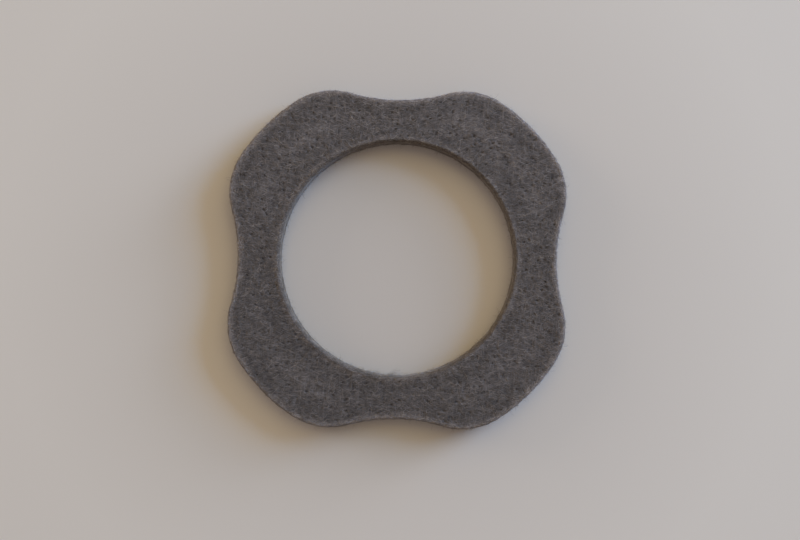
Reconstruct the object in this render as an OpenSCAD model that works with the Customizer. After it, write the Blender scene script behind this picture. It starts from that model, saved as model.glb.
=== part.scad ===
// Felt washer, die-cut in one piece from a flat sheet of grey wool felt.
// Broad lobes lie on one circle. Between them the rim dips in shallow scallops, and
// shoulder arcs that touch both curves carry each lobe into its scallops. A large
// round bore runs through the middle. Every cut edge is a little rounded, because felt
// gives way under the cutting die. Lengths are in millimetres and angles in degrees.
// The bore's axis is Z and the lower face lies at z = 0.

/* [Outline] */
// Number of lobes around the rim
lobes = 4; // [2, 4]
// Diameter of the circle that the lobes lie on
lobe_d = 56; // [52:0.5:60]
// Diameter of the circle that the deepest points of the scallops touch
waist_d = 48; // [46:0.5:51]
// Radius of each hollow scallop
scallop_r = 26; // [20:0.5:32]
// Radius of the shoulder between a lobe and a scallop
shoulder_r = 10; // [6:0.5:11]

/* [Bore] */
// Diameter of the round bore
bore_d = 35; // [24:0.5:42]

/* [Sheet] */
// Thickness of the felt
felt_t = 3; // [1.5:0.1:6]
// Rounding of the cut edges
edge_r = 0.4; // [0.1:0.05:0.7]

/* [Hidden] */

felt_grey = "#4d4949";

// Sides of the large circles, and of the small ones that round the edges
$fn = 120;
edge_fn = 32;

// How far a cutting shape runs past both faces
cut_past = 1;

lobe_r = lobe_d / 2;
bore_r = bore_d / 2;

// One lobe and one scallop together take this angle
pitch_a = 360 / lobes;

// The first scallop's centre lies on the X axis. A shoulder touches the lobes' circle
// from inside and the scallop from outside, which gives the three sides of the triangle
// between the bore's axis, the scallop's centre and the shoulder's centre.
scallop_x = waist_d / 2 + scallop_r;
shoulder_reach = lobe_r - shoulder_r;
shoulder_to_scallop = shoulder_r + scallop_r;
shoulder_a = acos((shoulder_reach ^ 2 + scallop_x ^ 2 - shoulder_to_scallop ^ 2)
    / (2 * shoulder_reach * scallop_x));
shoulder_way = [cos(shoulder_a), sin(shoulder_a)];
shoulder_xy = shoulder_reach * shoulder_way;

// In the same direction, but far beyond the rim
beyond_xy = 2 * scallop_x * shoulder_way;

// A point as it is (side 1) or on the other side of the X axis (side -1)
function aside(p, side) = [p.x, side * p.y];

// Moves by whole millimetres, then by thousandths, then by what is left. Each step is
// a short number, so the curves that touch here do so without the smallest gap.
module place(to) {
    whole = [for (v = to) floor(v)];
    part = [for (v = to - whole) floor(v * 1000) / 1000];
    translate(whole) translate(part) translate(to - whole - part) children();
}

// Two circles in a section that round its edge at the lower and at the upper face
module edge_rounds(r) {
    for (z = [edge_r, felt_t - edge_r]) translate([r, z]) circle(edge_r, $fn = edge_fn);
}

// A disc of felt with rounded edges
module soft_disc(r) {
    rotate_extrude() {
        translate([0, edge_r]) square([r, felt_t - 2 * edge_r]);
        square([r - edge_r, felt_t]);
        edge_rounds(r - edge_r);
    }
}

// What a round cut takes away, so that the felt around it keeps rounded edges
module soft_cut(r) {
    rotate_extrude() difference() {
        translate([0, -cut_past]) square([r + edge_r, felt_t + 2 * cut_past]);
        translate([r, edge_r]) square([2 * edge_r, felt_t - 2 * edge_r]);
        edge_rounds(r + edge_r);
    }
}

// What is cut away beside a shoulder: a wedge that reaches from the shoulder's centre to
// the end of the lobe and to the middle of the scallop, less the shoulder's own disc
module flank(side) {
    centre = aside(shoulder_xy, side);
    difference() {
        translate([0, 0, -cut_past]) linear_extrude(felt_t + 2 * cut_past)
            polygon([centre, aside(beyond_xy, side), [scallop_x, 0]]);
        place([centre.x, centre.y, 0]) soft_disc(shoulder_r);
    }
}

// All that is cut away between two lobes: a flank on each side, and the scallop
module notch() {
    for (side = [1, -1]) flank(side);
    translate([scallop_x, 0, 0]) soft_cut(scallop_r);
}

module felt_washer() {
    color(felt_grey) difference() {
        soft_disc(lobe_r);
        for (i = [0 : lobes - 1]) rotate(i * pitch_a) notch();
        soft_cut(bore_r);
    }
}

felt_washer();
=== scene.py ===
# %% [markdown]
# # A die-cut felt washer
#
# The real washer is one flat piece of grey needled wool felt, 3 mm thick, stamped out by a
# steel rule die. Its rim swings between four broad lobes and four shallow scallops, round a
# large round bore. The CAD model already has that form, but as a hard, perfect solid. Here it
# becomes felt: a matted skin with clumps and needle marks, thousands of fibres lying in it,
# soft cut edges with fuzz on them, and a dull, slightly uneven grey.
#
# ## Step 1: load the fixed frame
#
# Everything is made in metres, in the same frame as the CAD model.

# %% Load the imported model
import math
import random

import bmesh
import bpy
from mathutils import Matrix, Vector, kdtree, noise


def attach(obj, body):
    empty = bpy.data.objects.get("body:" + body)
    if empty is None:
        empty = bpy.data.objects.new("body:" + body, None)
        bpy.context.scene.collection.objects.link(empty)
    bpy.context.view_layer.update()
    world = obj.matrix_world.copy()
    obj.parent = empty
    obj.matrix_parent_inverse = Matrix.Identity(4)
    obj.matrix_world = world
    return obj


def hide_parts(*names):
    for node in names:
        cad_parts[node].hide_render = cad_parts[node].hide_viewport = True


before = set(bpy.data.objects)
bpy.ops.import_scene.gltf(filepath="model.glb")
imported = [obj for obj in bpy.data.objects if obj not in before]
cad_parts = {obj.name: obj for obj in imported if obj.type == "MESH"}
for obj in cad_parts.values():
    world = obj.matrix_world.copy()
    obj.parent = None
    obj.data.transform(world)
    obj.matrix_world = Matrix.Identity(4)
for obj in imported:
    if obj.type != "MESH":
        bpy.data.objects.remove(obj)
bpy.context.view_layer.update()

# %% [markdown]
# ## Step 2: the sizes of the washer
#
# A die for such a washer is drawn from a few arcs, so the same few lengths draw it here. The
# scallop is an arc whose centre lies outside the washer, and the shoulder is the small arc
# that leads from the scallop into the lobe. Three touching circles make a triangle, and the
# cosine rule then says at which angle the shoulder sits, so that no corner is left anywhere.
# Felt gives way under the die and eases afterwards. So the lobes are a tenth of a millimetre
# fuller than the CAD model's, the scallops two tenths deeper, and the rims rounder.

# %% The sizes, in metres
mm = 0.001
lobe_r = 28.1 * mm  # centre to the top of a lobe
waist_r = 23.8 * mm  # centre to the bottom of a scallop
bore_r = 17.5 * mm
scallop_r = 26 * mm
shoulder_r = 10 * mm
felt_t = 3 * mm
edge_r = 0.5 * mm  # how round the rims are
lobes = 4

scallop_x = waist_r + scallop_r
shoulder_reach = lobe_r - shoulder_r
shoulder_to_scallop = shoulder_r + scallop_r
shoulder_a = math.acos(
    (shoulder_reach**2 + scallop_x**2 - shoulder_to_scallop**2)
    / (2 * shoulder_reach * scallop_x)
)
scallop_a = math.asin(shoulder_reach * math.sin(shoulder_a) / shoulder_to_scallop)
shoulder_turn = scallop_a + shoulder_a
lobe_a = math.pi / lobes - shoulder_a  # half of the lobe's own arc
print("shoulder at", round(math.degrees(shoulder_a), 2), "degrees")

# %% [markdown]
# ## Step 3: the outline
#
# An outline of arcs is the work of the spin operator: it turns a single point round a centre
# and leaves a chain of edges behind. Five spins draw the quarter from one scallop to the
# next, and four quarters close the outline. Short edges of about a quarter of a millimetre
# are needed later, because the felt's relief is pressed into these same points.

# %% A helper that turns a point round a centre
def swing(bm, last, radius, at_angle, turn, steps):
    """Spins the last point round a centre given by radius and angle; returns the new last."""
    centre = (radius * math.cos(at_angle), radius * math.sin(at_angle), 0)
    spun = bmesh.ops.spin(
        bm, geom=[last], cent=centre, axis=(0, 0, 1), angle=turn, steps=steps,
        use_duplicate=False,
    )
    return spun["geom_last"][0]


# %% Draw the outline
felt = bmesh.new()
tip = felt.verts.new((waist_r, 0, 0))
scallop_steps, shoulder_steps, lobe_steps = 28, 34, 52
for quarter in range(lobes):
    start = quarter * math.tau / lobes
    end = start + math.tau / lobes
    tip = swing(felt, tip, scallop_x, start, -scallop_a, scallop_steps)
    tip = swing(felt, tip, shoulder_reach, start + shoulder_a, shoulder_turn, shoulder_steps)
    tip = swing(felt, tip, 0, 0, 2 * lobe_a, lobe_steps)
    tip = swing(felt, tip, shoulder_reach, end - shoulder_a, shoulder_turn, shoulder_steps)
    tip = swing(felt, tip, scallop_x, end, -scallop_a, scallop_steps)
bmesh.ops.remove_doubles(felt, verts=felt.verts, dist=0.001 * mm)
print("outline:", len(felt.verts), "points,", len(felt.edges), "edges")

# %% [markdown]
# The fibres that come later have to know where the rim is, so the outline is remembered as
# a list of points in the order of their angle, each with the direction that faces outwards.

# %% Remember the outline
def facing_out(vert):
    """The level direction that points away from the felt at a point of the outline."""
    before, after = (edge.other_vert(vert).co for edge in vert.link_edges)
    along = after - before
    across = Vector((along.y, -along.x, 0)).normalized()
    return across if across.dot(vert.co) > 0 else -across


def angle_of(point):
    return math.atan2(point.y, point.x) % math.tau


rim = sorted((angle_of(v.co), v.co.copy(), facing_out(v)) for v in felt.verts)
rim_points = len(rim)


def rim_at(angle):
    """The outline's point and outward direction at an angle, between the two nearest points."""
    angle = angle % math.tau
    low, high = 0, rim_points
    while high - low > 1:
        middle = (low + high) // 2
        low, high = (middle, high) if rim[middle][0] <= angle else (low, middle)
    here, there = rim[low], rim[(low + 1) % rim_points]
    share = (angle - here[0]) / (((there[0] - here[0]) % math.tau) or 1)
    return here[1].lerp(there[1], share), here[2].lerp(there[2], share).normalized()


print("rim at 0 and 45 degrees, mm:", [round(1000 * rim_at(math.radians(a))[0].length, 3)
                                       for a in (0, 45)])

# %% [markdown]
# ## Step 4: the body of the washer
#
# The bore's circle is a copy of the outline's points, each drawn in to the bore's radius, so
# that the two loops stand opposite each other and bridge into clean quads. The flat ring is
# then extruded to the felt's thickness, and the four sharp rims are bevelled round. Only
# after that are the long edges cut up, because a bevel is cleaner on a simple mesh.

# %% Ring, thickness and rounded rims
inner = bmesh.ops.duplicate(felt, geom=felt.verts[:] + felt.edges[:])["geom"]
for vert in (part for part in inner if isinstance(part, bmesh.types.BMVert)):
    vert.co = vert.co.normalized() * bore_r
bmesh.ops.bridge_loops(felt, edges=felt.edges[:])
raised = bmesh.ops.extrude_face_region(felt, geom=felt.faces[:])["geom"]
raised_points = [part for part in raised if isinstance(part, bmesh.types.BMVert)]
bmesh.ops.translate(felt, vec=(0, 0, felt_t), verts=raised_points)
bmesh.ops.recalc_face_normals(felt, faces=felt.faces[:])
sharp = [edge for edge in felt.edges if edge.calc_face_angle(0) > 1]
bmesh.ops.bevel(
    felt, geom=sharp, offset=edge_r, segments=5, profile=0.5, affect="EDGES", material=-1
)
print("ring with rounded rims:", len(felt.faces), "faces from", len(sharp), "sharp edges")

# %% [markdown]
# The long edges of the faces run across the ring, and those of the walls run up it. Each
# kind is cut to about a fifth of a millimetre, the underside less finely, because it is
# hardly ever seen. The piece stays under 200,000 triangles.

# %% Cut the faces and the walls fine
top_cuts, under_cuts, wall_cuts = 47, 14, 11
across = [edge for edge in felt.edges if edge.calc_length() > 4 * mm]
across_top = [edge for edge in across if edge.verts[0].co.z > felt_t / 2]
across_under = [edge for edge in across if edge.verts[0].co.z < felt_t / 2]
up_the_wall = [edge for edge in felt.edges
               if abs(edge.verts[0].co.z - edge.verts[1].co.z) > 1 * mm]
for edges, cuts in ((across_top, top_cuts), (across_under, under_cuts), (up_the_wall, wall_cuts)):
    bmesh.ops.subdivide_edges(felt, edges=edges, cuts=cuts, use_grid_fill=True)
felt.normal_update()
print("felt mesh:", len(felt.verts), "points,", sum(len(f.verts) - 2 for f in felt.faces),
      "triangles")

# %% [markdown]
# ## Step 5: the relief of the matted surface
#
# Needled felt isn't flat. Fibres gather in clumps about a millimetre across, the sheet itself
# swells a little over longer distances, and the barbed needles that matted it left small pits
# in both faces. A displacement modifier could push the skin about, but the fibres have to lie
# on the same relief, so it is written as one function of the place, which both of them use.

# %% Needle pits, scattered with a fixed seed
chance = random.Random(31)
pit_spacing = 1.2 * mm
pit_stray = 0.55  # of the spacing, how far a pit strays from its place in the grid
pit_share = 0.8  # of the places in the grid, the ones that got a pit
pit_margin = 0.7 * mm  # no pit lies nearer to a cut
pit_r = 0.12 * mm  # across the sheet's run, which is along X; along it a pit is longer
pit_drag = 0.65
pits = []


def squeezed(point):
    """A point drawn together along X, so that a round pit there is a long one on the felt."""
    return Vector((point.x * pit_drag, point.y, point.z))


cells = int(lobe_r / pit_spacing) + 1
for row in range(-cells, cells + 1):
    for column in range(-cells, cells + 1):
        spot = Vector(((column + chance.uniform(-pit_stray, pit_stray)) * pit_spacing,
                       (row + chance.uniform(-pit_stray, pit_stray)) * pit_spacing, 0))
        edge_point, _ = rim_at(angle_of(spot))
        inside = bore_r + pit_margin < spot.length < edge_point.length - pit_margin
        if inside and chance.random() < pit_share:
            for height in (0, felt_t):
                pits.append((Vector((spot.x, spot.y, height)), chance.uniform(0.35, 1)))
pit_tree = kdtree.KDTree(len(pits))
for number, (spot, _) in enumerate(pits):
    pit_tree.insert(squeezed(spot), number)
pit_tree.balance()
print("needle pits on each face:", len(pits) // 2)


# %% [markdown]
# The die leaves its own mark too: round the bore the felt stands up in a low, soft lip that is
# higher here and lower there. At both cuts the felt is also paler, partly in its own tone and
# partly as painted light, which comes below.

# %% One function for the whole relief
def from_bore(point):
    """How far a point is from the bore's wall, in metres."""
    return point.xy.length - bore_r


def from_rim(point):
    """How far inside the outer rim a point is, in metres."""
    return rim_at(angle_of(point))[0].length - point.xy.length


def pit_at(point):
    """How deep in a needle pit a point is, from 0 outside to 1 at the middle of a deep one."""
    spot, number, gap = pit_tree.find(squeezed(point))
    return pits[number][1] * math.exp(-((gap / pit_r) ** 2)) if gap < 3 * pit_r else 0.0


def relief(point):
    """How far the felt stands out of its ideal skin at a point, in metres.

    The last line holds the height of each part of the relief, in millimetres."""
    swell = noise.noise(point / (9 * mm))
    clump = noise.noise(point / (1.3 * mm) + Vector((7, 3, 5)))
    tuft = noise.noise(point / (0.5 * mm) + Vector((1, 9, 2)))
    torn = 1 + 1.6 * noise.noise(point / (3 * mm) + Vector((4, 4, 8)))
    lip = torn * math.exp(-(((from_bore(point) - 0.45 * mm) / (0.28 * mm)) ** 2))
    return (0.05 * swell + 0.045 * clump + 0.04 * tuft + 0.065 * lip - 0.2 * pit_at(point)) * mm


# %% [markdown]
# The same places need a tone of their own. The cut walls are a little paler. The light lines that
# the standing nap on the rims catches from the low light are painted in as paler felt, most of
# all at the upper outer rim and on the crest of the bore's lip. The shade on the outer wall and
# on the rounding of the bore's rim is painted darker. For a few millimetres behind the rims the
# felt is darker than in the middle of a lobe. The tone is worked out for each point, and the
# materials multiply their colours by it.

# %% One function for the tone and the painted light and shade at the cuts
def ramp(value, start, end, low, high):
    """Goes evenly from low to high while the value goes from start to end, and stays there."""
    return low + (high - low) * min(max((value - start) / (end - start), 0), 1)


def cut_tone_and_painted_light(point):
    """How much lighter or darker the felt is near the cuts, with the light and shade there
    painted in.
    """
    bore, rim = from_bore(point) / mm, from_rim(point) / mm
    upper = ramp(point.z / mm, 2.1, 2.6, 0, 1)
    # at each cut: its wall, the rounded rim, and the loose felt behind that; the paler factors
    # are partly the cut's own tone and partly painted light from the nap, and the darker ones are
    # painted shade
    at_bore = (ramp(bore, 0.0, 0.1, 1.15, 1) * ramp(bore, 0.1, 0.45, 0.75, 1)
               * ramp(bore, 0.75, 1.25, 1.3, 1))
    at_rim = (ramp(rim, 0.0, 0.15, 0.85, 1) * ramp(rim, 0.35, 0.6, 1 + 0.12 * upper, 1)
              * ramp(rim, 0.4, 1.2, 1.35 + 0.35 * upper, 1))
    in_a_lobe = ramp(min(bore, rim), 2.5, 5.0, 0.97, 1.15)
    return at_bore * at_rim * in_a_lobe


print("tone on the outer wall:", round(cut_tone_and_painted_light(rim_at(0)[0]), 2))

# %% Press the relief into the body
pit_layer = felt.verts.layers.float.new("pit")
tone_layer = felt.verts.layers.float.new("cut_tone_and_painted_light")
bore_layer = felt.verts.layers.float.new("from_bore_mm")
moves = [(vert, relief(vert.co)) for vert in felt.verts]
for vert, height in moves:
    vert[pit_layer] = pit_at(vert.co)
    vert[tone_layer] = cut_tone_and_painted_light(vert.co)
    vert[bore_layer] = from_bore(vert.co) / mm
    vert.co += vert.normal * height
    vert.co.z = max(vert.co.z, 0)
for face in felt.faces:
    face.smooth = True
print("relief from", round(1000 * min(m[1] for m in moves), 3), "to",
      round(1000 * max(m[1] for m in moves), 3), "mm")

felt_mesh = bpy.data.meshes.new("felt_body")
felt.to_mesh(felt_mesh)
felt.free()
felt_body = bpy.data.objects.new("felt_body", felt_mesh)
bpy.context.scene.collection.objects.link(felt_body)

# %% [markdown]
# A hard rim goes dark where it turns from the light. A felt rim hardly does: light enters the
# loose fibres and leaves them again on the upper side. So the normals that shade the outer
# rim are turned part of the way up, for the body here and for the strands later.

# %% Soften how the outer rim is shaded
def shaded_way(facing, point):
    """Which way the felt is shaded as facing: the outer rim's upper rounding leans up."""
    outwards = facing.xy.dot(point.xy) > 0
    share = 0.75 * min(1, 1.3 * max(facing.z, 0)) if outwards else 0
    return facing.lerp(Vector((0, 0, 1)), share).normalized()


felt_mesh.normals_split_custom_set_from_vertices(
    [shaded_way(vertex.normal, vertex.co) for vertex in felt_mesh.vertices])
print("the body is shaded with", len(felt_mesh.vertices), "normals of its own")

# %% [markdown]
# ## Step 6: where a fibre can lie
#
# A fibre lies in the skin of the washer, whichever way that faces. So the skin is described
# once: an angle round the bore, and a station along the washer's section. Stations 0 to 1
# go up the bore's wall, 1 to 2 round its upper rim, 2 to 3 out over the top, 3 to 4 round the
# outer rim, 4 to 5 down the outer wall, and 5 to 8 back along the underside to the start.

# %% The skin of the washer
wall_h = felt_t - 2 * edge_r


def skin(angle, station):
    """The point and the outward direction of the washer's skin at an angle and a station."""
    inward = -Vector((math.cos(angle), math.sin(angle), 0))
    outer, outward = rim_at(angle)
    up = Vector((0, 0, 1))
    part, share = int(station % 8), station % 1
    bore_top = -inward * (bore_r + edge_r)
    outer_top = outer - outward * edge_r
    turn = share * math.pi / 2
    if part == 0:
        return -inward * bore_r + up * (edge_r + wall_h * share), inward
    if part == 1:
        facing = inward * math.cos(turn) + up * math.sin(turn)
        return bore_top + up * (felt_t - edge_r) + facing * edge_r, facing
    if part == 2:
        return bore_top.lerp(outer_top, share) + up * felt_t, up
    if part == 3:
        facing = up * math.cos(turn) + outward * math.sin(turn)
        return outer_top + up * (felt_t - edge_r) + facing * edge_r, facing
    if part == 4:
        return outer + up * (edge_r + wall_h * (1 - share)), outward
    if part == 5:
        facing = outward * math.cos(turn) - up * math.sin(turn)
        return outer_top + up * edge_r + facing * edge_r, facing
    if part == 6:
        return outer_top.lerp(bore_top, share), -up
    facing = inward * math.sin(turn) - up * math.cos(turn)
    return bore_top + up * edge_r + facing * edge_r, facing


def station_length(angle, station):
    """How long one station is at that place, in metres."""
    part = int(station % 8)
    if part in (0, 4):
        return wall_h
    if part in (2, 6):
        return rim_at(angle)[0].length - bore_r - 2 * edge_r
    return edge_r * math.pi / 2


print("skin at station 2.5:", [round(1000 * x, 2) for x in skin(0, 2.5)[0]])

# %% [markdown]
# ## Step 7: fibres
#
# Wool fibres are about 0.03 mm thick, finer than a pixel of the photograph, where only
# small bundles of them show. So each strand here stands for such a bundle, about twice as
# thick, and short, since a bundle soon dips under the next one. A strand starts somewhere on
# the skin and wanders over it, turning a little at each step, with its ends drawn to points
# and sunk into the felt. All strands of a piece are one curve object with a three-cornered
# bevel, which is the cheapest way to get thousands of thin tubes, and the curve is then made
# a mesh, so that each strand can carry its own shade.

# %% Draw one strand over the skin
strand_points = 5


def wander(chance, angle, station, heading, length, bend, lift, sunk=0.06 * mm):
    """A strand that lies in the skin: its points, and which way the skin faces at each.

    A heading of 0 runs round the bore, and a quarter turn more runs outwards."""
    points, facings = [], []
    step = length / (strand_points - 1)
    for number in range(strand_points):
        point, facing = skin(angle, station)
        arch = math.sin(math.pi * number / (strand_points - 1))
        height = relief(point) + lift * arch - sunk * (1 - arch)
        point = point + facing * height
        points.append(Vector((point.x, point.y, max(point.z, 0.01 * mm))))
        facings.append(shaded_way(facing, point))
        angle += step * math.cos(heading) / max(point.xy.length, bore_r)
        station += step * math.sin(heading) / station_length(angle, station)
        heading += chance.gauss(0, bend)
    return points, facings


# %% Draw many strands as thin tubes
tube_corners = 3


def drawn_tubes(name, strands):
    """One mesh with a thin three-cornered tube for each strand, pointed at both ends."""
    profile = bpy.data.curves.new(name + "_profile", "CURVE")
    corners = profile.splines.new("POLY")
    corners.points.add(tube_corners - 1)
    corners.use_cyclic_u = True
    for number, corner in enumerate(corners.points):
        turn = -number * math.tau / tube_corners
        corner.co = (math.cos(turn) * mm, math.sin(turn) * mm, 0, 1)
    profile_object = bpy.data.objects.new(name + "_profile", profile)
    bpy.context.scene.collection.objects.link(profile_object)

    curve = bpy.data.curves.new(name, "CURVE")
    curve.dimensions = "3D"
    curve.bevel_mode = "OBJECT"
    curve.bevel_object = profile_object
    taper = [math.sin(math.pi * n / (strand_points - 1)) ** 0.4 for n in range(strand_points)]
    taper[0] = taper[-1] = 0
    for points, _, radius, _ in strands:
        spline = curve.splines.new("POLY")
        spline.points.add(strand_points - 1)
        spline.points.foreach_set("co", [x for point in points for x in (*point, 1)])
        spline.points.foreach_set("radius", [radius / mm * share for share in taper])
    drawn = bpy.data.objects.new(name + "_curve", curve)
    bpy.context.scene.collection.objects.link(drawn)
    dg = bpy.context.evaluated_depsgraph_get()
    mesh = bpy.data.meshes.new_from_object(drawn.evaluated_get(dg))
    mesh.name = name
    bpy.data.objects.remove(drawn)
    bpy.data.objects.remove(profile_object)
    return mesh


# %% [markdown]
# The tubes come out in the order in which their strands went in, point after point. So what
# the shaders need to know about each strand and its place can be written straight onto them.

# %% Write on the tubes what the shaders need
def note_on_tubes(mesh, strands):
    """Gives each point its strand's shade, its place's tone and the way the skin faces."""
    ring = range(tube_corners)
    all_points = [point for strand in strands for point in strand[0]]
    shade = mesh.attributes.new("shade", "FLOAT", "POINT")
    tone = mesh.attributes.new("cut_tone_and_painted_light", "FLOAT", "POINT")
    near_bore = mesh.attributes.new("from_bore_mm", "FLOAT", "POINT")
    lies = mesh.attributes.new("lies", "FLOAT_VECTOR", "POINT")
    shade.data.foreach_set("value", [strand[3] for strand in strands
                                     for _ in range(tube_corners * strand_points)])
    tone.data.foreach_set("value", [t for t in map(cut_tone_and_painted_light, all_points) for _ in ring])
    near_bore.data.foreach_set("value", [from_bore(point) / mm
                                         for point in all_points for _ in ring])
    lies.data.foreach_set("vector", [x for _, facings, _, _ in strands
                                     for facing in facings for _ in ring for x in facing])


# %% [markdown]
# A picture for each piece needs a UV map, and thousands of strands don't unwrap well by
# themselves. The curve gives each strand a tidy strip of its own, along and around, so the strips
# only have to be laid out side by side, each in one square of a grid.

# %% Lay the strands' strips out in a grid
def give_each_its_patch(mesh, count):
    """Moves each strand's own strip of the UV map into its square of a grid."""
    grid = math.ceil(math.sqrt(count))
    source = mesh.uv_layers[0]
    places = [0.0] * (2 * len(mesh.loops))
    source.data.foreach_get("uv", places)
    per_strand = len(mesh.loops) // count
    for loop in range(len(mesh.loops)):
        number = loop // per_strand
        places[2 * loop] = (number % grid + 0.12 + 0.76 * places[2 * loop]) / grid
        places[2 * loop + 1] = (number // grid + 0.12 + 0.76 * places[2 * loop + 1]) / grid
    source.data.foreach_set("uv", places)
    source.name = "OFBake"


# %% [markdown]
# A wool fibre lets light through, and light that enters it comes out of its neighbours too.
# So matted wool is shaded far more evenly than a heap of tiny opaque tubes would be. The cheap
# way to that look is to turn each strand's normals most of the way towards the skin that it lies
# in, which the mesh itself keeps.

# %% Close the tips and shade the strands like the skin
def close_tips(mesh):
    """Merges the points at each end of a tube into one."""
    closed = bmesh.new()
    closed.from_mesh(mesh)
    bmesh.ops.remove_doubles(closed, verts=closed.verts, dist=0.0001 * mm)
    for face in closed.faces:
        face.smooth = True
    closed.to_mesh(mesh)
    closed.free()


def shade_like_the_skin(mesh, matted):
    """Turns the normals towards the skin: not at all when matted is 0, fully when it is 1."""
    lies = mesh.attributes["lies"]
    mesh.normals_split_custom_set_from_vertices(
        [vertex.normal.lerp(skin_way.vector, matted).normalized()
         for vertex, skin_way in zip(mesh.vertices, lies.data)])
    mesh.attributes.remove(mesh.attributes["lies"])


# %% Turn many strands into one piece
def strand_piece(name, strands, matted=0.85):
    """Makes one piece of many strands, each given as (points, facings, radius, shade)."""
    mesh = drawn_tubes(name, strands)
    note_on_tubes(mesh, strands)
    give_each_its_patch(mesh, len(strands))
    close_tips(mesh)
    shade_like_the_skin(mesh, matted)
    piece = bpy.data.objects.new(name, mesh)
    bpy.context.scene.collection.objects.link(piece)
    mesh.calc_loop_triangles()
    print(name + ":", len(strands), "strands,", len(mesh.loop_triangles), "triangles")
    return piece


# %% [markdown]
# The top gets the most strands, since the camera looks at it. Before a sheet is needled its
# wool is combed, so two strands out of three run roughly along X, and the rest run every way.
# Most are short and dull, and a few are longer and lighter, and those are the ones that the
# eye picks out as fibres.

# %% Fibres of the top face
light_share = 0.15  # of the strands, the ones that catch the eye
combed_share = 0.67  # of the strands, the ones that run roughly along X


def over_a_pit(points):
    """Whether a strand would hide a needle pit."""
    middles = [a.lerp(b, 0.5) for a, b in zip(points, points[1:])]
    return max(pit_at(point) for point in points + middles) > 0.24


def top_strands(chance, count):
    made = []
    while len(made) < count:
        angle = chance.uniform(0, math.tau)
        width = station_length(angle, 2.5)
        reach = rim_at(angle)[0].length
        share = chance.random()
        if chance.random() > (bore_r + width * share) / reach:
            continue  # as many to each square millimetre at the bore as at the rim
        light = chance.random() < light_share
        length = chance.uniform(0.5, 1.3) * mm if light else chance.uniform(0.35, 1.0) * mm
        combed = chance.random() < combed_share
        direction = chance.gauss(0, 0.4) if combed else chance.uniform(0, math.tau)
        points, facings = wander(
            chance, angle, 1.9 + 1.2 * share, angle + math.pi / 2 - direction, length, 0.22,
            chance.uniform(0.0, 0.03) * mm + (0.015 * mm if light else 0))
        if over_a_pit(points):
            continue
        made.append((
            points,
            facings,
            chance.uniform(0.022, 0.037) * mm,
            chance.uniform(0.65, 1) if light else chance.triangular(0, 0.75, 0.3),
        ))
    return made


strand_count = 10500
fibres_top_a = strand_piece("felt_fibres_top_a", top_strands(random.Random(101), strand_count),
                            matted=0.93)
fibres_top_b = strand_piece("felt_fibres_top_b", top_strands(random.Random(102), strand_count),
                            matted=0.93)

# %% [markdown]
# The die presses the walls as it cuts, so their fibres lie mostly level, in thin layers, and
# they are short, because the blade went through them. Here and there one springs out.

# %% Fibres of the two walls and of the underside
def wall_strands(chance, count):
    made = []
    while len(made) < count:
        outer = chance.random() < 0.63
        station = chance.uniform(3.5, 5.6) if outer else chance.uniform(-0.6, 1.5)
        loose = chance.random() < 0.12
        heading = chance.gauss(0, 0.35) + (math.pi if chance.random() < 0.5 else 0)
        made.append((
            *wander(chance, chance.uniform(0, math.tau), station, heading,
                    chance.uniform(0.5, 1.9) * mm, 0.3,
                    chance.uniform(0.04, 0.1) * mm if loose else chance.uniform(0, 0.04) * mm),
            chance.uniform(0.018, 0.032) * mm,
            chance.triangular(0.1, 1, 0.5),
        ))
    return made


def under_strands(chance, count):
    made = []
    while len(made) < count:
        made.append((
            *wander(chance, chance.uniform(0, math.tau), chance.uniform(5.9, 7.1),
                    chance.uniform(0, math.tau), chance.uniform(1, 3) * mm, 0.45,
                    chance.uniform(0, 0.04) * mm),
            chance.uniform(0.022, 0.034) * mm,
            chance.triangular(0, 0.9, 0.4),
        ))
    return made


fibres_walls = strand_piece("felt_fibres_walls",
                            wall_strands(random.Random(103), strand_count * 3 // 4))
fibres_under = strand_piece("felt_fibres_under",
                            under_strands(random.Random(104), strand_count // 4))

# %% [markdown]
# Some fibres leave the felt altogether. On the rims a short nap stands up and catches the low
# light, so both cuts show as soft light lines. Down the walls hairs stick out as fuzz. The
# punch tore a little at the front of the bore: more hairs reach into the hole there, and in
# the middle of them a small tuft.

# %% One loose hair
def fuzz_strand(chance, angle, station, length, lean, sweep, rise=0.0):
    """One loose hair: it leaves the skin, leans over and curls a little."""
    point, facing = skin(angle, station)
    around = Vector((-math.sin(angle), math.cos(angle), 0))
    rise += chance.gauss(0, 0.25)
    heading = (facing * lean + around * sweep + Vector((0, 0, rise))).normalized()
    place = point + facing * (relief(point) - 0.05 * mm)
    points = []
    for _ in range(strand_points):
        points.append(Vector((place.x, place.y, max(place.z, 0.02 * mm))))
        place = place + heading * (length / (strand_points - 1))
        heading = (heading + Vector([chance.gauss(0, 0.28) for _ in range(3)])).normalized()
    return points, [facing] * strand_points


# %% Nap on the rims and fuzz on the walls
tuft_angle = math.radians(-94.7)  # the bore's front, where the punch tore
torn_count = 450


def nap(chance, count):
    """Short hairs that stand up on the upper rims of the bore and of the outline."""
    made = []
    for number in range(count):
        station = chance.gauss(1.8, 0.3) if number % 3 == 0 else chance.gauss(3.3, 0.4)
        points, _ = fuzz_strand(
            chance, chance.uniform(0, math.tau), station, chance.uniform(0.14, 0.36) * mm,
            chance.uniform(0.2, 0.7), chance.gauss(0, 0.5), 0.5)
        made.append((points, [Vector((0, 0, 1))] * strand_points,
                     chance.uniform(0.013, 0.021) * mm, chance.uniform(0.5, 1)))
    return made


def torn_hairs(chance, count):
    """Hairs that reach into the bore at its front."""
    made = []
    for _ in range(count):
        made.append((
            *fuzz_strand(chance, chance.gauss(tuft_angle, 0.3), chance.uniform(0.1, 1.4),
                         chance.uniform(0.25, 0.75) * mm, chance.uniform(0.5, 1),
                         chance.gauss(0, 0.7)),
            chance.uniform(0.012, 0.019) * mm,
            chance.uniform(0.7, 1),
        ))
    return made


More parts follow.
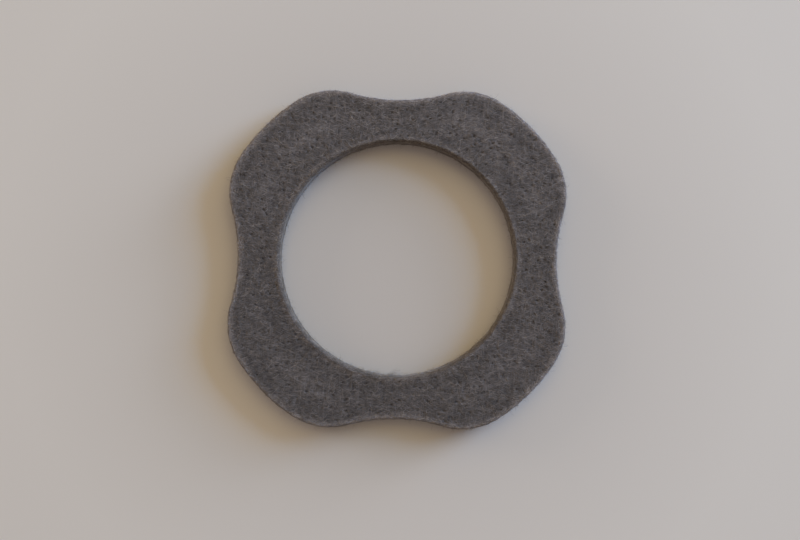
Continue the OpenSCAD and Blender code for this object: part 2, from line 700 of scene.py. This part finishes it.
def fuzz(chance, count):
    """Most hairs are a quarter of a millimetre long, and one in three is longer."""
    made = []
    for number in range(count):
        station = chance.choice((chance.gauss(1.2, 0.35), chance.gauss(3.8, 0.35),
                                 chance.uniform(0, 1), chance.uniform(4, 5.3)))
        if number % 3:
            length = chance.uniform(0.15, 0.4) * mm
        else:
            length = min(chance.expovariate(1 / 0.32), 1.2) * mm + 0.2 * mm
        made.append((
            *fuzz_strand(chance, chance.uniform(0, math.tau), station, length,
                         chance.uniform(0.25, 1), chance.gauss(0, 0.9)),
            chance.uniform(0.009, 0.016) * mm,
            chance.uniform(0.45, 1),
        ))
    return made


felt_nap = strand_piece("felt_nap", nap(random.Random(107), 8400),
                        matted=0.4)
loose_hairs = fuzz(random.Random(105), 6400)
loose_hairs += torn_hairs(random.Random(108), torn_count)

# %% The tuft that reaches into the bore
tuft_tip = Vector((1.0 * mm, -16.5 * mm, 1.5 * mm))
tuft_hairs, long_hairs = 14, 9
chance = random.Random(106)
for number in range(tuft_hairs):
    angle = tuft_angle + chance.gauss(0.0, 0.012)
    start, facing = skin(angle, chance.uniform(0.55, 1.3))
    end = tuft_tip + Vector([chance.gauss(0, 0.22) * mm for _ in range(3)])
    if number >= long_hairs:
        end = start.lerp(end, chance.uniform(0.4, 0.8)) - Vector((0, 0.35 * mm, 0))
    bow = Vector([chance.gauss(0, 0.10) * mm for _ in range(3)])
    path = []
    for step in range(strand_points):
        share = step / (strand_points - 1)
        path.append(start.lerp(end, share) + bow * math.sin(math.pi * share))
    path[0] = start - facing * 0.08 * mm
    loose_hairs.append((path, [facing] * strand_points, chance.uniform(0.016, 0.026) * mm,
                        chance.uniform(0.85, 1)))
felt_fuzz = strand_piece("felt_fuzz", loose_hairs, matted=0.3)

# %% [markdown]
# ## Step 8: the finish of the felt
#
# Grey wool felt is dyed fibre, matted dry: no gloss at all, a dull grey that leans to the
# warm side, a soft bright veil where the surface turns away from the eye, and fine lighter
# and darker flecks, since no two fibres take the dye alike. The veil is the shader's sheen.
# Colours are written as the sRGB hex values that a paint program shows, and one function
# turns them into the linear numbers that Blender works with.

# %% Colours and a helper for nodes
def srgb(hex_value):
    """A linear colour from an sRGB hex value such as 7a7a7a."""
    channels = [int(hex_value[i:i + 2], 16) / 255 for i in (0, 2, 4)]
    return tuple(
        [c / 12.92 if c <= 0.04045 else ((c + 0.055) / 1.055) ** 2.4 for c in channels] + [1.0]
    )


def add_node(tree, kind, inputs=None, **settings):
    """Adds a node with its settings, and sets each input to a value or links it to a socket."""
    node = tree.nodes.new(kind)
    for name, value in settings.items():
        setattr(node, name, value)
    for socket, value in (inputs or {}).items():
        if isinstance(value, bpy.types.NodeSocket):
            tree.links.new(value, node.inputs[socket])
        else:
            node.inputs[socket].default_value = value
    return node


def new_material(name):
    """An empty material with its shader and output; returns the material, tree and shader."""
    material = bpy.data.materials.new(name)
    material.use_nodes = True
    tree = material.node_tree
    tree.nodes.clear()
    shader = add_node(tree, "ShaderNodeBsdfPrincipled")
    add_node(tree, "ShaderNodeOutputMaterial", {"Surface": shader.outputs["BSDF"]})
    return material, tree, shader


# %% [markdown]
# Both the body and the strands share the felt's unevenness of tone. Towards one side the felt is
# painted a little paler. That is painted light: it stands in for the light that falls more on
# that side. Over a few millimetres the density drifts, and at the size of the clumps there is a
# finer mottling. The noise reads the object's own coordinates, so that each pattern runs on from
# the body to the strands. The tone of the cuts, with its painted light and shade, comes with the
# mesh. The wall of the bore is painted a trace warmer, to offset the cool window light that falls
# on it.

# %% The unevenness and the painted light that all of the felt shares
# The felt is painted paler towards this side: painted light for the light that falls more on it.
painted_light_a = math.radians(73)  # towards the paler end of the sheet


def mottled(tree, colour_socket):
    """The colour, lighter and darker as the felt is and as painted light and shade make it;
    returns a colour socket.
    """
    place = add_node(tree, "ShaderNodeTexCoord").outputs["Object"]
    along_painted_light = add_node(tree, "ShaderNodeVectorMath", {
        0: place, 1: (math.cos(painted_light_a), math.sin(painted_light_a), 0)}, operation="DOT_PRODUCT")
    drift = add_node(tree, "ShaderNodeTexNoise", {
        "Vector": place, "Scale": 1 / (6 * mm), "Detail": 2.0})
    clumps = add_node(tree, "ShaderNodeTexNoise", {
        "Vector": place, "Scale": 1 / (0.9 * mm), "Detail": 3.0, "Roughness": 0.6})
    bore = add_node(tree, "ShaderNodeAttribute", attribute_name="from_bore_mm").outputs["Fac"]
    light = add_node(tree, "ShaderNodeAttribute", attribute_name="cut_tone_and_painted_light").outputs["Fac"]
    for value, start, end, low, high in (
        # painted light: paler towards the side where more light falls; the two rows after it are
        # the felt's own tone
        (along_painted_light.outputs["Value"], -lobe_r, lobe_r, 0.89, 1.11),
        (drift.outputs["Fac"], 0.3, 0.7, 0.94, 1.06),
        (clumps.outputs["Fac"], 0.3, 0.7, 0.78, 1.22),
    ):
        share = add_node(tree, "ShaderNodeMapRange", {
            "Value": value, "From Min": start, "From Max": end, "To Min": low, "To Max": high})
        light = add_node(tree, "ShaderNodeMath", {0: light, 1: share.outputs[0]},
                         operation="MULTIPLY").outputs[0]
    # the bore's wall and rounding are painted warmer, to offset the cool window light that falls
    # on them
    tint = add_node(tree, "ShaderNodeMix", {
        0: add_node(tree, "ShaderNodeMapRange", {
            "Value": bore, "From Max": 0.6}).outputs[0],
        6: (1.05, 0.98, 0.85, 1.0), 7: (1.0, 1.0, 1.0, 1.0)}, data_type="RGBA")
    tinted = add_node(tree, "ShaderNodeVectorMath", {
        0: colour_socket, 1: tint.outputs[2]}, operation="MULTIPLY")
    return add_node(tree, "ShaderNodeVectorMath", {0: tinted.outputs[0], "Scale": light},
                    operation="SCALE").outputs[0]


# %% [markdown]
# The body is seen between the strands, so it has the finer fibres that there are too many
# of to model. Noise that is stretched along one direction looks like a comb of fibres, and
# four such combs at different angles, the lightest of them winning, look like matted wool.
# Three of the combs lie near the sheet's run along X, as most of the strands do.

# %% Combs of fine fibres
felt_material, tree, shader = new_material("pressed_wool_felt")
fibre_width = 0.07 * mm  # real fibres are half of this, too fine to show
place = add_node(tree, "ShaderNodeTexCoord").outputs["Object"]
combs = []
for turn, shift in ((-24, 0.1), (4, 0.4), (27, 0.7), (95, 0.9)):
    turned = add_node(tree, "ShaderNodeMapping", {
        "Vector": place, "Rotation": (0, 0, math.radians(turn)), "Location": (shift, shift, 0)})
    stretched = add_node(tree, "ShaderNodeMapping", {
        "Vector": turned.outputs[0], "Scale": (0.1, 1, 1)})
    combs.append(add_node(tree, "ShaderNodeTexNoise", {
        "Vector": stretched.outputs[0], "Scale": 0.5 / fibre_width, "Detail": 1.0,
        "Distortion": 0.6}).outputs["Fac"])
lightest = combs[0]
for comb in combs[1:]:
    lightest = add_node(tree, "ShaderNodeMath", {0: lightest, 1: comb},
                        operation="MAXIMUM").outputs[0]
fibre = add_node(tree, "ShaderNodeMapRange", {
    "Value": lightest, "From Min": 0.5, "From Max": 0.75}).outputs[0]
print("combs of fibres:", len(combs))

# %% Pressed wool felt, for the body
between = add_node(tree, "ShaderNodeMix", {
    0: fibre, 6: srgb("474444"), 7: srgb("736f6e")}, data_type="RGBA").outputs[2]
# The middle of a needle pit is painted near black: painted shade in the hollow, on top of the dip
# in its relief.
pit = add_node(tree, "ShaderNodeAttribute", attribute_name="pit").outputs["Fac"]
pit_shaded_colour = add_node(tree, "ShaderNodeMix", {
    0: pit, 6: between, 7: srgb("1f1d1d")}, data_type="RGBA").outputs[2]
colour = mottled(tree, pit_shaded_colour)
bump = add_node(tree, "ShaderNodeBump", {
    "Height": fibre, "Distance": 0.03 * mm, "Strength": 0.5})
tree.links.new(colour, shader.inputs["Base Color"])
tree.links.new(bump.outputs["Normal"], shader.inputs["Normal"])
shader.inputs["Roughness"].default_value = 0.95
shader.inputs["Specular IOR Level"].default_value = 0.15
shader.inputs["Sheen Weight"].default_value = 0.25
shader.inputs["Sheen Roughness"].default_value = 0.5
felt_body.data.materials.append(felt_material)
print("material:", felt_material.name, "with", len(tree.nodes), "nodes")

# %% [markdown]
# A strand is one bundle of the same wool. Its shade is a number from 0 to 1 that was drawn
# with it: dark strands are those that took more dye, and light ones catch the eye on top.

# %% Wool fibre, for the strands
fibre_material, tree, shader = new_material("dyed_wool_fibre")
shade = add_node(tree, "ShaderNodeAttribute", attribute_name="shade").outputs["Fac"]
dark_part = add_node(tree, "ShaderNodeMapRange", {"Value": shade, "From Max": 0.5}).outputs[0]
light_part = add_node(tree, "ShaderNodeMapRange", {
    "Value": shade, "From Min": 0.5}).outputs[0]
lower = add_node(tree, "ShaderNodeMix", {
    0: dark_part, 6: srgb("4c4949"), 7: srgb("666261")}, data_type="RGBA").outputs[2]
upper = add_node(tree, "ShaderNodeMix", {
    0: light_part, 6: lower, 7: srgb("918c8a")}, data_type="RGBA").outputs[2]
colour = mottled(tree, upper)
tree.links.new(colour, shader.inputs["Base Color"])
shader.inputs["Roughness"].default_value = 0.9
shader.inputs["Specular IOR Level"].default_value = 0.2
shader.inputs["Sheen Weight"].default_value = 0.2
shader.inputs["Sheen Roughness"].default_value = 0.5

strand_pieces = (fibres_top_a, fibres_top_b, fibres_walls, fibres_under, felt_nap, felt_fuzz)
for piece in strand_pieces:
    piece.data.materials.append(fibre_material)
print("material:", fibre_material.name, "on", len(strand_pieces), "pieces")

# %% [markdown]
# ## Step 9: tie the pieces to the frame
#
# The body stands for the CAD solid, and every piece rides on the washer's one rigid body. All
# of them together stay under a million triangles, so that a game engine can still show them.

# %% Ride and replace
pieces = (felt_body, *strand_pieces)
for piece in pieces:
    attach(piece, "root")
    piece.data.calc_loop_triangles()
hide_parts("felt_washer")
print("triangles in all:", sum(len(piece.data.loop_triangles) for piece in pieces))

# %% [markdown]
# ## Step 10: the table and the light
#
# The washer lies on a plain pale table near a window. The window is a cool, wide, low light
# from the right, and its pale sill sends some more light low across the table, straight onto
# the walls that face it. A warm lamp stands higher, on the far side. A pale wall on the left
# throws a little of its light back low, and the room gives a soft warm light all round. So
# the shadows on the left of the washer and inside its bore are brown. The camera is near and
# keeps a little of the room's light from the middle of the table, so the board's colour is a
# shade deeper there. Painted board is nearly matt: it shows soft shadows, and no reflections.

# %% A plain pale table
table_r = 900 * mm
table_drop = 0.02 * mm  # so that the felt and the board never share a plane
table = bmesh.new()
bmesh.ops.create_circle(table, cap_ends=True, segments=96, radius=table_r)
bmesh.ops.translate(table, vec=(0, 0, -table_drop), verts=table.verts)
table_mesh = bpy.data.meshes.new("table_top")
table.to_mesh(table_mesh)
table.free()
table_top = bpy.data.objects.new("table_top", table_mesh)
bpy.context.scene.collection.objects.link(table_top)
table_material, tree, shader = new_material("pale_painted_board")
place = add_node(tree, "ShaderNodeTexCoord").outputs["Object"]
from_middle = add_node(tree, "ShaderNodeVectorMath", {0: place}, operation="LENGTH")
outwards = add_node(tree, "ShaderNodeMapRange", {
    "Value": from_middle.outputs["Value"], "From Min": 15 * mm, "From Max": 60 * mm})
board = add_node(tree, "ShaderNodeMix", {
    0: outwards.outputs[0], 6: srgb("d0cdc8"), 7: srgb("dfddd7")}, data_type="RGBA")
tree.links.new(board.outputs[2], shader.inputs["Base Color"])
shader.inputs["Roughness"].default_value = 0.6
shader.inputs["Specular IOR Level"].default_value = 0.2
table_mesh.materials.append(table_material)
print("table:", round(2 * table_r / mm), "mm across")


# %% Soft lights
def soft_light(name, azimuth, elevation, distance, size, power, colour):
    """A square area light that faces the washer: angles in degrees, lengths in metres."""
    lamp = bpy.data.lights.new(name, "AREA")
    lamp.size, lamp.energy, lamp.color = size, power, srgb(colour)[:3]
    holder = bpy.data.objects.new(name, lamp)
    a, e = math.radians(azimuth), math.radians(elevation)
    way = Vector((math.cos(a) * math.cos(e), math.sin(a) * math.cos(e), math.sin(e)))
    holder.location = way * distance
    holder.rotation_mode = "QUATERNION"
    holder.rotation_quaternion = way.to_track_quat("Z", "Y")
    bpy.context.scene.collection.objects.link(holder)
    print("light:", name, "of", power, "watts")


soft_light("window", 30, 16.5, 1.2, 0.6, 17.2, "96c7ff")
soft_light("window_sill", 30, 7, 1.2, 0.3, 6.0, "fff0e4")
soft_light("left_wall", 155, 9, 2.0, 0.8, 12.2, "ffead8")
soft_light("warm_lamp", 68, 47, 1.2, 1.3, 5.0, "ffe4a0")

# %% The room's own light
room = bpy.data.worlds.new("room")
bpy.context.scene.world = room
room.use_nodes = True
room_light = room.node_tree.nodes["Background"]
room_light.inputs["Color"].default_value = srgb("ffe9dc")
room_light.inputs["Strength"].default_value = 0.305
print("room light:", round(room_light.inputs["Strength"].default_value, 3))

# %% [markdown]
# ## Step 11: the camera
#
# The photograph looks down on the washer, a degree or two off the vertical. The washer is
# 377 px across its lobes there, which fixes the lens once the distance is chosen.

# %% Camera
photo_w, photo_h = 800, 540  # px
px_per_mm = 6.72
sensor_w = 36  # mm
washer_px, washer_py = 396.8, 258.7  # the bore's centre
camera_distance = 148 * mm
lean_x, lean_y, roll = math.radians(-0.5), math.radians(1.6), math.radians(0.7)

camera_data = bpy.data.cameras.new("camera")
camera_data.sensor_width = sensor_w
camera_data.lens = px_per_mm * sensor_w * (camera_distance / mm) / photo_w
camera_data.clip_start, camera_data.clip_end = 0.005, 10
camera = bpy.data.objects.new("camera", camera_data)
aim = Vector(((photo_w / 2 - washer_px) / px_per_mm,
              (washer_py - photo_h / 2) / px_per_mm,
              felt_t / mm)) * mm
back = Vector((-math.sin(lean_x), -math.sin(lean_y), 1)).normalized()
camera.location = aim + back * camera_distance
camera.rotation_mode = "QUATERNION"
right = Vector((math.cos(roll), math.sin(roll), 0))
right = (right - back * right.dot(back)).normalized()
axes = Matrix((right, back.cross(right), back)).transposed()
camera.rotation_quaternion = axes.to_quaternion()
bpy.context.scene.collection.objects.link(camera)
bpy.context.scene.camera = camera
bpy.context.scene.view_settings.view_transform = "Standard"
print("camera lens:", round(camera_data.lens, 1), "mm")
